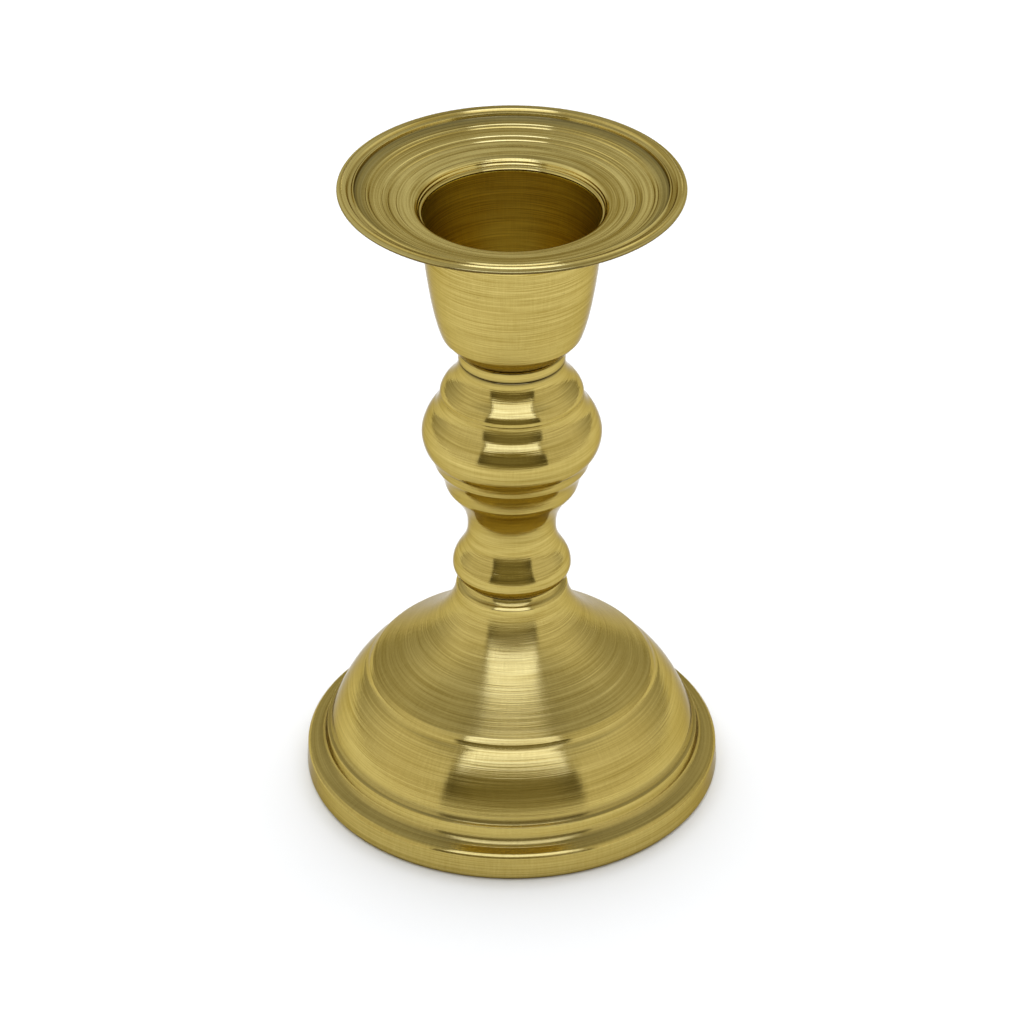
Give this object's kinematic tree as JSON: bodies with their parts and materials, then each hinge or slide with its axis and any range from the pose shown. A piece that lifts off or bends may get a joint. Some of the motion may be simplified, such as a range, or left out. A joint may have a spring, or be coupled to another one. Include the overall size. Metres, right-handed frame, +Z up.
{
  "type": "taper candlestick",
  "caption": "Turned brass candlestick for one taper candle, with a domed hollow foot, baluster stem, candle cup and drip pan held together by a tie rod.",
  "frame": {"origin": "on the table, under the centre of the round foot", "axes": "+Z up along the turning axis, +X and +Y level; the shape is round, so any level direction is the front"},
  "size_m": [0.0638, 0.0638, 0.1013],
  "materials": {
    "brass": "turned and lacquered, fine circular tool lines",
    "cup_brass": "satin, turned outside and darker inside",
    "pan_brass": "spun and polished, fine rings",
    "dull_brass": "as stamped, dull",
    "plated_steel": "zinc plated, satin"
  },
  "bodies": {
    "root": {"foot": "brass", "stem": "brass", "collar_ring": "brass", "candle_cup": "cup_brass", "drip_pan": "pan_brass", "tie_rod": "plated_steel", "flat_washer": "dull_brass", "lock_washer": "plated_steel", "hex_nut": "dull_brass"}
  },
  "joints": []
}
